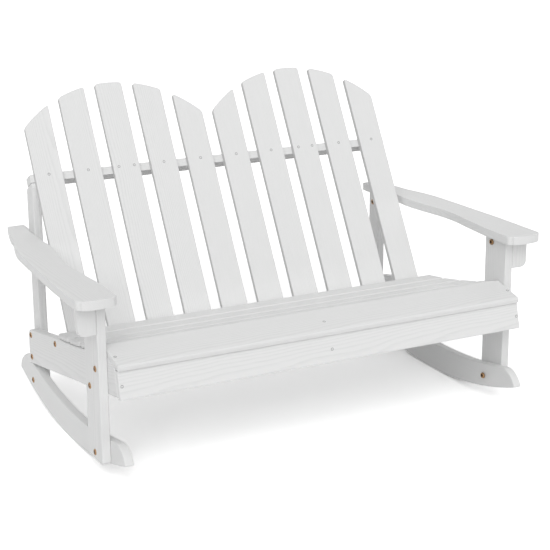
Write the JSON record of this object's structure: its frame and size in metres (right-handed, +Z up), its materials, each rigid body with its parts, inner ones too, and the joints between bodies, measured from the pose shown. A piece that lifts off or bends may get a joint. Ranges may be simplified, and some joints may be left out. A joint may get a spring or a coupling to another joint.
{
  "type": "rocking bench",
  "caption": "Small two-seat rocking bench with a fanned slatted back, flat arms and curved rockers.",
  "frame": {"origin": "on the floor, under the middle of the bench's outer box", "axes": "+X along the seat to the right as seen from the front, +Y to the rear, +Z up; the sitters face -Y"},
  "size_m": [1.016, 0.6362, 0.6603],
  "materials": {
    "painted_wood": "white paint over brushed softwood grain",
    "bronze_plating": "dark bronze plated"
  },
  "bodies": {
    "root": {"left_rocker": "painted_wood", "left_side_stringer": "painted_wood", "left_front_leg": "painted_wood", "left_back_post": "painted_wood", "left_armrest": "painted_wood", "left_arm_bracket": "painted_wood", "left_front_arm_cleat": "painted_wood", "left_rear_arm_cleat": "painted_wood", "right_rocker": "painted_wood", "right_side_stringer": "painted_wood", "right_front_leg": "painted_wood", "right_back_post": "painted_wood", "right_armrest": "painted_wood", "right_arm_bracket": "painted_wood", "right_front_arm_cleat": "painted_wood", "right_rear_arm_cleat": "painted_wood", "seat_slat_1": "painted_wood", "seat_slat_2": "painted_wood", "seat_slat_3": "painted_wood", "seat_slat_4": "painted_wood", "front_seat_board": "painted_wood", "apron": "painted_wood", "centre_stringer": "painted_wood", "back_slat_1": "painted_wood", "back_slat_2": "painted_wood", "back_slat_3": "painted_wood", "back_slat_4": "painted_wood", "back_slat_5": "painted_wood", "back_slat_6": "painted_wood", "back_slat_7": "painted_wood", "back_slat_8": "painted_wood", "back_slat_9": "painted_wood", "back_slat_10": "painted_wood", "upper_back_rail": "painted_wood", "lower_back_rail": "painted_wood", "left_upper_leg_bolt": "bronze_plating", "left_lower_leg_bolt": "bronze_plating", "left_foot_bolt": "bronze_plating", "left_upper_post_bolt": "bronze_plating", "left_lower_post_bolt": "bronze_plating", "left_rocker_post_bolt": "bronze_plating", "left_rail_bolt": "bronze_plating", "left_front_cleat_bolt": "bronze_plating", "left_rear_cleat_bolt": "bronze_plating", "left_foot_nut": "bronze_plating", "right_upper_leg_bolt": "bronze_plating", "right_lower_leg_bolt": "bronze_plating", "right_foot_bolt": "bronze_plating", "right_upper_post_bolt": "bronze_plating", "right_lower_post_bolt": "bronze_plating", "right_rocker_post_bolt": "bronze_plating", "right_rail_bolt": "bronze_plating", "right_front_cleat_bolt": "bronze_plating", "right_rear_cleat_bolt": "bronze_plating", "right_foot_nut": "bronze_plating"}
  },
  "joints": []
}
